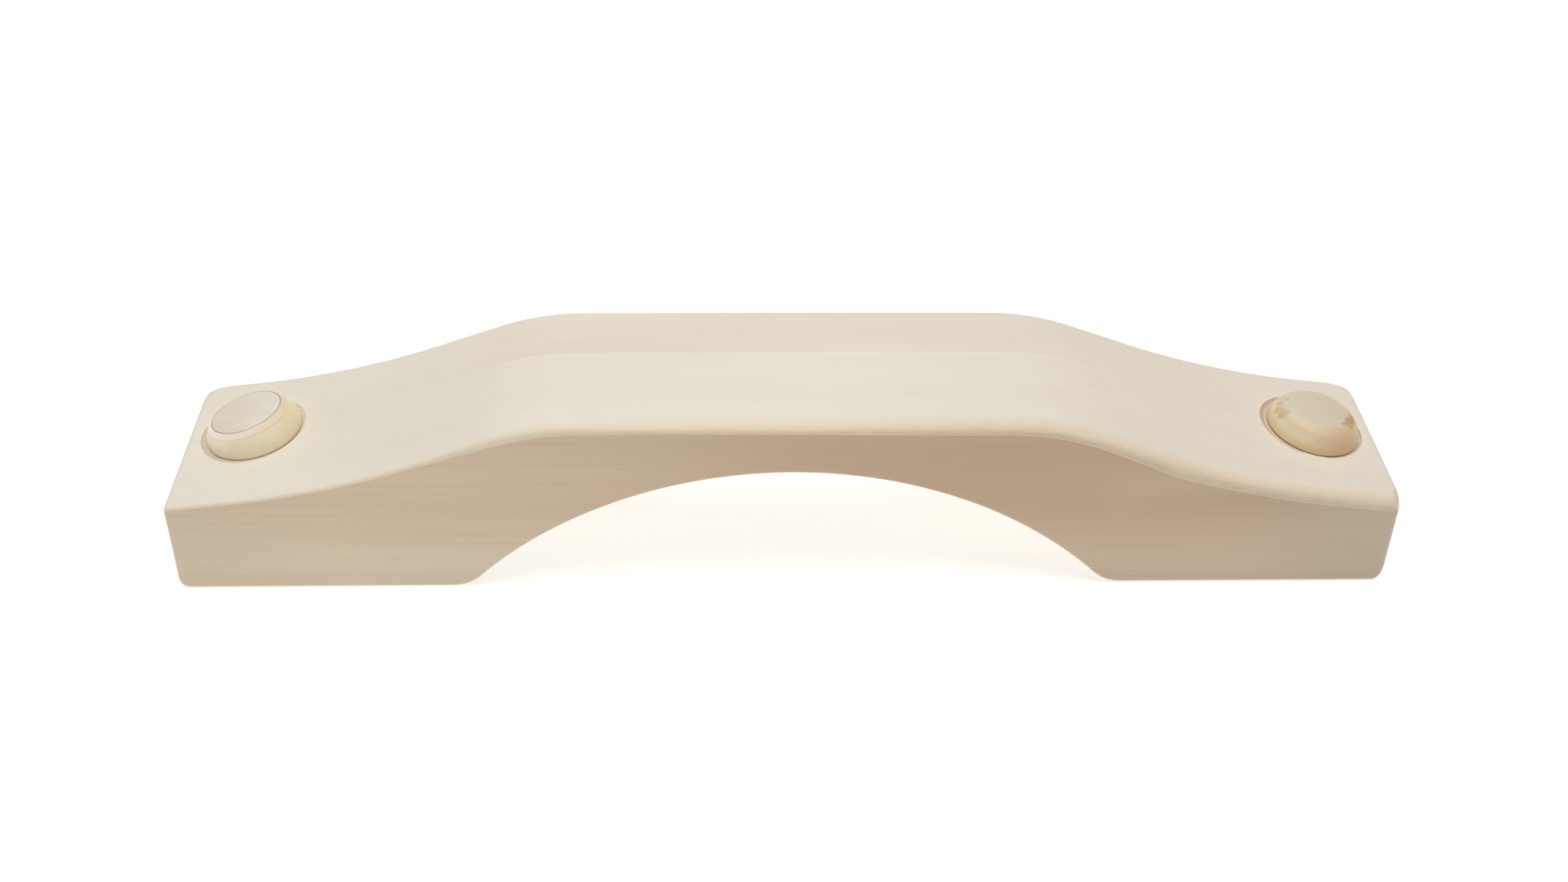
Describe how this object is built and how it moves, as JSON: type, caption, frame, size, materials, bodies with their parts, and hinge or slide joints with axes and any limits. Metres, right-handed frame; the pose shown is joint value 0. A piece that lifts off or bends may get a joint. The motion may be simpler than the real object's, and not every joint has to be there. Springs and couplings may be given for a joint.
{
  "type": "pull handle",
  "caption": "Wooden bow pull handle with an arched finger gap and sloping feet, each with a mushroom-shaped button plug over a counterbored screw hole.",
  "frame": {"origin": "on the base plane, midway between the two feet and midway across the width", "axes": "+X along the handle, +Z away from the surface the handle is screwed to, Y across the width"},
  "size_m": [0.25, 0.044, 0.0405],
  "materials": {
    "body_wood": "fine-sanded pale hardwood, unvarnished",
    "plug_wood": "sanded pale hardwood, end grain on the flat top"
  },
  "bodies": {
    "handle": {"handle_body": "body_wood"},
    "left_plug": {"left_plug": "plug_wood"},
    "right_plug": {"right_plug": "plug_wood"}
  },
  "joints": [
    {"name": "left_plug_pull", "type": "slide", "parent": "handle", "child": "left_plug", "axis": [-0.1392, 0, 0.9903], "range_m": [0, 0.012]},
    {"name": "right_plug_pull", "type": "slide", "parent": "handle", "child": "right_plug", "axis": [0.1392, 0, 0.9903], "range_m": [0, 0.012]}
  ]
}
